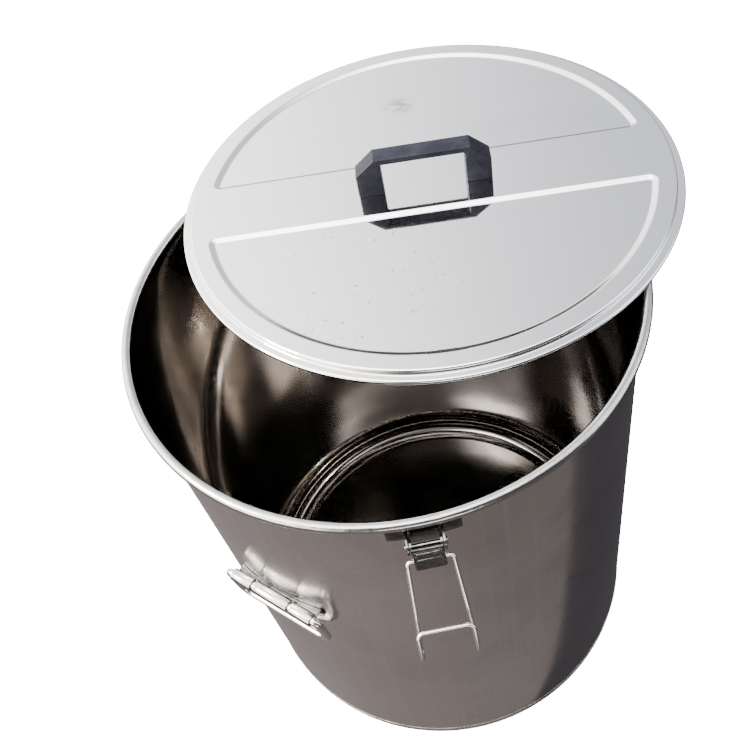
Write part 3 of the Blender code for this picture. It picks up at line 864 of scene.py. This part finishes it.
def build_latch_plate(name, place, pivot):
    """T-shaped plate on the wall, with two ears for the axle, their folds and four rivets."""
    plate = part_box("latch_base_" + name)
    low, top = plate[0][2] + 0.013, plate[1][2]
    wing = low + 0.007
    wide, narrow = (math.radians(a) * PLATE_RADIUS for a in (LATCH_WIDE, LATCH_NARROW))
    right = [(narrow, low), (narrow, wing), (wide, wing), (wide, top)]
    corners = [(-narrow, low)] + right + [(-x, z) for x, z in reversed(right[1:])]
    outline = rounded(corners, [0.003, 0.003, 0.0015, 0.002, 0.004, 0.004, 0.002, 0.0015], 5)
    bm = wrapped(outline, LATCH_PLATE, WALL_OUTER + GAP)
    root = WALL_OUTER + 0.0006
    button = [(0.0024, 0), (0.0021, 0.00012), (0.0016, 0.00003), (0.0009, -0.00012)]
    button += [(0, -0.0002), (0, -0.0006), (0.0024, -0.0006)]
    for side in (-1, 1):
        ear = [(root, top - 0.002)] + arc(pivot, 0.0065, 90, -90, 20) + [(root, wing - 0.002)]
        prism(ear, *sorted((side * EAR_INNER, side * EAR_OUTER)), 0.00025, bm)
        fold = [(root, top - 0.001), (root + 0.0025, top - 0.001)]
        fold += [(root + 0.0025, wing - 0.001), (root, wing - 0.001)]
        prism(fold, *sorted((side * (EAR_INNER - 0.0006), side * EAR_INNER)), 0.0002, bm)
        turn = side * (wide - 0.0055) / WALL_OUTER
        for height in (top - 0.005, wing + 0.004):
            dome(button, 32, turn, WALL_OUTER + 0.0015, height, bm)
    piece("latch_plate_" + name, bm, (SHADED_FITTING,), "can", ("latch_base_" + name,), place)


def build_latch_axle(name, place, pivot):
    tip = EAR_OUTER + 0.0006
    bm = rod(pivot, AXLE, -tip, tip)
    for side in (-1, 1):
        ends = sorted((side * (EAR_OUTER + GAP), side * (EAR_OUTER + 0.0011)))
        rod(pivot, 0.0032, ends[0], ends[1], 32, 0.0003, bm)
    piece("latch_axle_" + name, bm, (SHADED_FITTING,), "can", ("latch_pin_" + name,), place)


def build_lever(name, place, pivot, bail_pivot):
    """Folded channel: its web has a slot, an arched lower edge and two pressed ribs."""
    out, up = pivot
    bottom = CAN_HEIGHT - LEVER_DROP
    back, front = out - LEVER_ROUND, out + LEVER_ROUND
    inside = LEVER_HALF - LEVER_WALL
    section = [(back, -LEVER_HALF), (front, -LEVER_HALF), (front, LEVER_HALF), (back, LEVER_HALF)]
    section += [(back, inside), (front - LEVER_WALL, inside), (front - LEVER_WALL, -inside), (back, -inside)]
    section = rounded(section, [0.0003, 0.0022, 0.0022, 0.0003, 0.0003, 0.0008, 0.0008, 0.0003], 5)
    block = turned(prism(section, bottom, up + LEVER_ROUND + 0.001), lambda p: (p.z, p.y, p.x))
    side_shape = arc(pivot, LEVER_ROUND + 0.0001, 180, 0, 32)
    side_shape += [(front + 0.0001, bottom + 0.0002), (back + 0.005, bottom + 0.0002)]
    side_shape += [(back - 0.0001, bottom + 0.006)]
    steps = [
        ("INTERSECT", prism(side_shape, -0.02, 0.02)),
        ("DIFFERENCE", rod(pivot, AXLE + GAP, -0.03, 0.03)),
        ("DIFFERENCE", rod(bail_pivot, BAIL_WIRE + GAP, -0.03, 0.03)),
    ]
    half, crown, foot = LEVER_HALF - 0.0024, bottom + 0.0135, bottom - 0.002
    arch = [(-half, foot), (-half, crown - 0.0035), (0.004 - half, crown)]
    arch += [(-x, z) for x, z in reversed(arch)]
    slot = [(-0.0055, up - 0.0075), (0.0055, up - 0.0075), (0.0055, up - 0.003), (-0.0055, up - 0.003)]
    for outline, radii in ((arch, [0, 0.002, 0.0025, 0.0025, 0.002, 0]), (slot, [0.0012] * 4)):
        cutter = prism(rounded(outline, radii, 5), front - 0.004, front + 0.003)
        steps.append(("DIFFERENCE", turned(cutter, lambda p: (-p.y, -p.x, p.z))))
    for height in (bottom + 0.0165, bottom + 0.0265):
        foot, crest = front - 0.0005, front + 0.0008
        rib = [(foot, height - 0.0011), (crest, height - 0.0005)]
        rib += [(crest, height + 0.0005), (foot, height + 0.0011)]
        steps.append(("UNION", prism(rib, -0.0092, 0.0092, 0.0002)))
    bm = boolean(block, steps)
    replaced = ("latch_lever_" + name,)
    piece("lever_" + name, bm, (SHADED_FITTING,), name + "_lever", replaced, place, sharp=30.0)


def build_bail(name, place, pivot, rest_angle):
    """Wire loop: arms that spread from the lever, hooks that turn back and a crossbar between them."""
    angle = math.radians(rest_angle)
    bend, half, tip, curve = 0.0035, 0.018, 0.022, 0.0055
    turn = BAIL_SPACING / 2
    arm = BAIL_LENGTH - turn - bend
    path = [(0.0095, 0.0, 0.0), (0.0125, 0.0, 0.0)]
    path += [(x, a, 0.0) for x, a in arc((half - bend, bend), bend, -90, 0, 8)]
    path += [(half + (tip - half) * k / 6, bend + arm * k / 6, 0.0) for k in range(1, 6)]
    path += [(tip, a, n) for a, n in arc((BAIL_LENGTH - turn, turn), turn, -90, 90, 16)]
    path += [(x, a, BAIL_SPACING) for x, a in arc((tip - curve, BAIL_REACH + curve), curve, 0, -90, 8)]
    path += [(0.008, BAIL_REACH, BAIL_SPACING)]
    world = []
    for x, a, n in path + [(-x, a, n) for x, a, n in reversed(path)]:
        outward = a * math.sin(angle) + n * math.cos(angle)
        height = n * math.sin(angle) - a * math.cos(angle)
        world.append((x, -(pivot[0] + outward), pivot[1] + height))
    replaced = ("latch_bail_" + name,)
    piece("bail_" + name, tube(world, BAIL_WIRE), (WIRE,), name + "_bail", replaced, place)


def build_latch(name, bearing, rest_angle):
    # Plate, axle and lever take the darker steel: painted shade.
    place = at_bearing(bearing)
    lever_pivot = reach(name + "_lever_hinge")
    bail_pivot = reach(name + "_bail_hinge")
    build_latch_plate(name, place, lever_pivot)
    build_latch_axle(name, place, lever_pivot)
    build_lever(name, place, lever_pivot, bail_pivot)
    build_bail(name, place, bail_pivot, rest_angle)


# ---------------------------------------------------------------- side handles


def knuckle(start, end, out, up):
    """A rolled knuckle: a tube along X with a narrow slit towards the wall."""
    shell = arc((out, up), KNUCKLE_RADIUS, 172, -172, 48)
    bore = arc((out, up), KNUCKLE_BORE, -172, 172, 48)
    bm = prism(shell + bore, start, end)
    soften(bm, sharp_edges(bm), 0.0002, clamp=True)
    return bm


def strap(start, end, out, up):
    """The strip that holds a knuckle. It follows the wall on one side and is straight on the other. Its faces
    take the darker steel: painted shade between knuckle and plate.
    """
    wall = WALL_OUTER + 0.0011
    meet = out - KNUCKLE_RADIUS + 0.0009
    span = 10
    bm = bmesh.new()
    rows = []
    for k in range(span + 1):
        x = start + (end - start) * k / span
        depth = math.sqrt(wall**2 - x**2)
        corners = ((depth, -0.0026), (meet + 0.0008, -0.0026), (meet + 0.0014, -0.0044), (depth, -0.0046))
        rows.append([bm.verts.new((x, -d, up + h)) for d, h in corners])
    for first, second in zip(rows, rows[1:]):
        for k in range(4):
            n = (k + 1) % 4
            bm.faces.new((first[k], second[k], second[n], first[n]))
    bm.faces.new(rows[0])
    bm.faces.new(list(reversed(rows[-1])))
    bmesh.ops.recalc_face_normals(bm, faces=bm.faces)
    for face in bm.faces:
        face.material_index = 1
    return bm


def build_hinge_plate(name, place, out, up):
    half = math.radians(HINGE_PLATE_HALF) * PLATE_RADIUS
    top, low = up - 0.0018, up - 0.0158
    outline = rounded([(-half, low), (half, low), (half, top), (-half, top)], 0.004, 5)
    bm = wrapped(outline, HINGE_PLATE, WALL_OUTER + GAP)
    # The plate takes the darker steel: painted shade.
    for face in bm.faces:
        face.material_index = 1
    for start, end in KNUCKLES:
        merge(bm, knuckle(start, end, out, up))
        merge(bm, strap(start, end, out, up))
    button = [(0.0019, 0), (0.0016, 0.0001), (0.0012, 0.00002), (0.0007, -0.0001)]
    button += [(0, -0.00015), (0, -0.0006), (0.0019, -0.0006)]
    for side in (-1, 1):
        for where in (0.036, 0.012):
            dome(button, 24, side * where / WALL_OUTER, WALL_OUTER + 0.0018, up - 0.0115, bm)
    replaced = ("side_plate_" + name,)
    piece("hinge_plate_" + name, bm, (FITTING, SHADED_FITTING), "can", replaced, place)


def build_ring(name, place, out, up):
    """Closed bar: its upper run turns in the knuckles and its lower run is the grip."""
    small, large = 0.006, 0.014
    loop = [(0.0, 0.0), (0.02, 0.0), (0.04, 0.0)]
    loop += arc((RING_HALF - small, small), small, -90, 0, 10)
    loop += [(RING_HALF, 0.018), (RING_HALF, 0.027)]
    loop += arc((RING_HALF - large, RING_DROP - large), large, 0, 90, 14)
    loop += [(0.02, RING_DROP), (0.0, RING_DROP)]
    path = loop + [(-x, a) for x, a in reversed(loop[1:-1])]
    angle = math.radians(RING_REST)
    points = [(x, -(out + a * math.sin(angle)), up - a * math.cos(angle)) for x, a in path]
    bm = tube(points, ROD, cyclic=True, sides=28)
    piece("ring_" + name, bm, (WIRE,), name + "_handle", ("side_ring_" + name,), place)


def build_side_handle(name, bearing):
    place = at_bearing(bearing)
    out, up = reach(name + "_handle_hinge")
    build_hinge_plate(name, place, out, up)
    build_ring(name, place, out, up)


# ---------------------------------------------------------------- stage


def build_camera():
    data = bpy.data.cameras.new("camera")
    data.lens = 45.03
    data.sensor_width = 36
    made = bpy.data.objects.new("camera", data)
    bpy.context.collection.objects.link(made)
    made.location = (0.0195, -0.558, 1.1606)
    made.rotation_euler = [math.radians(a) for a in (36.726, 9.265, -8.021)]
    bpy.context.scene.camera = made


def build_world():
    """Soft studio light: bright overhead, behind and at the left, dark low down and in front."""
    world = bpy.data.worlds.new("world")
    bpy.context.scene.world = world
    world.use_nodes = True
    tree = world.node_tree
    background = tree.nodes["Background"]
    split = tree.nodes.new("ShaderNodeSeparateXYZ")
    tree.links.new(tree.nodes.new("ShaderNodeTexCoord").outputs["Generated"], split.inputs[0])

    def ramp(source, low, high):
        made = tree.nodes.new("ShaderNodeMapRange")
        made.interpolation_type = "SMOOTHSTEP"
        made.inputs[1].default_value = low
        made.inputs[2].default_value = high
        tree.links.new(source, made.inputs[0])
        return made.outputs[0]

    def mix(factor, first, second):
        made = tree.nodes.new("ShaderNodeMix")
        made.data_type = "RGBA"
        tree.links.new(factor, made.inputs[0])
        for index, value in ((6, first), (7, second)):
            if isinstance(value, tuple):
                made.inputs[index].default_value = (*value, 1)
            else:
                tree.links.new(value, made.inputs[index])
        return made.outputs[2]

    x, y, z = split.outputs
    across = ramp(x, -0.7, 0.7)
    back = mix(ramp(x, -0.55, 0.35), (6.3, 6.25, 6.2), (1.30, 1.32, 1.45))
    back = mix(ramp(z, 0.05, 0.15), (0.30, 0.27, 0.26), back)
    overhead = mix(ramp(x, -0.15, 0.5), (12.0, 12.0, 12.0), (3.4, 3.5, 3.8))
    front = mix(across, (0.45, 0.40, 0.36), (0.16, 0.155, 0.165))
    front = mix(ramp(z, 0.22, 0.55), mix(across, (0.30, 0.27, 0.25), (0.10, 0.095, 0.10)), front)
    sky = mix(ramp(y, -0.52, -0.34), front, mix(ramp(y, 0.05, 0.42), overhead, back))
    sky = mix(ramp(x, -0.85, -0.35), (10.0, 9.2, 7.8), sky)
    ground = mix(across, (0.37, 0.32, 0.315), (0.20, 0.18, 0.175))
    sky = mix(ramp(z, -0.08, 0.06), ground, sky)
    ahead = mix(ramp(z, -0.12, 0.04), ground, mix(ramp(z, 0.16, 0.34), (5.2, 5.1, 5.0), sky))
    tree.links.new(mix(ramp(y, -0.985, -0.93), ahead, sky), background.inputs[0])


def plain(name, colour, glow, strength):
    """Matt material of the stage, with its own even light."""
    made = bpy.data.materials.new(name)
    made.use_nodes = True
    shader = made.node_tree.nodes["Principled BSDF"]
    shader.inputs["Base Color"].default_value = (*colour, 1)
    shader.inputs["Roughness"].default_value = 0.9
    shader.inputs["Specular IOR Level"].default_value = 0.0
    shader.inputs["Emission Color"].default_value = (*glow, 1)
    shader.inputs["Emission Strength"].default_value = strength
    return made


def stage_piece(name, bm, material):
    mesh = bpy.data.meshes.new(name)
    bm.to_mesh(mesh)
    bm.free()
    mesh.materials.append(material)
    made = bpy.data.objects.new(name, mesh)
    bpy.context.collection.objects.link(made)
    return made


def flat(low, high, z):
    bm = bmesh.new()
    corners = ((low[0], low[1]), (high[0], low[1]), (high[0], high[1]), (low[0], high[1]))
    bm.faces.new([bm.verts.new((x, y, z)) for x, y in corners])
    return bm


def build_stage():
    """Sun, pale floor and backdrop, and a dark card that only the steel's reflections see: a painted shadow
    of the can on the ground.
    """
    sun = bpy.data.lights.new("sun", "SUN")
    sun.energy = 30
    sun.angle = math.radians(12)
    lamp = bpy.data.objects.new("sun", sun)
    bpy.context.collection.objects.link(lamp)
    lamp.matrix_world = Vector((-0.75, -0.03, 0.66)).to_track_quat("Z", "Y").to_matrix().to_4x4()
    pale = plain("floor", (0.9, 0.9, 0.9), (1, 1, 1), 16)
    floor = stage_piece("floor", flat((-6, -6), (6, 6), -0.0005), pale)
    backdrop = stage_piece("backdrop", lathe(arc((0, 0), 5.9, -0.01, 90, 16), closed=False, steps=64), pale)
    backdrop.visible_shadow = False
    backdrop.visible_transmission = False
    for made in (floor, backdrop):
        made.visible_glossy = False
        made.visible_diffuse = False
    # Dark card beside the can: a painted shadow, standing in for the can's own shadow on the ground as the
    # wall mirrors it.
    dark = plain("shade", (0.0, 0.0, 0.0), (0.070, 0.064, 0.074), 1)
    shade = stage_piece("shade", flat((0.06, -0.222), (1.66, 0.285), 0.0005), dark)
    shade.visible_camera = False
    shade.visible_diffuse = False
    shade.visible_shadow = False


build_wall()
build_floor()
build_girth_weld("girth_weld_outside", WALL_OUTER - 0.0001, 1)
build_girth_weld("girth_weld_inside", WALL_INNER + 0.0001, -1)
build_rim_seam()
lid = lid_place()
build_lid(lid)
build_seal(lid)
build_grip(lid)
build_lid_screws(lid)
build_latch("front", 0.0, 34.0)
build_latch("rear", 180.0, -5.0)
build_side_handle("left", -41.5)
build_side_handle("right", 138.5)
frame["nodes"]["rim_wire"].data.materials.clear()
frame["nodes"]["rim_wire"].data.materials.append(RIM)
build_camera()
build_world()
build_stage()
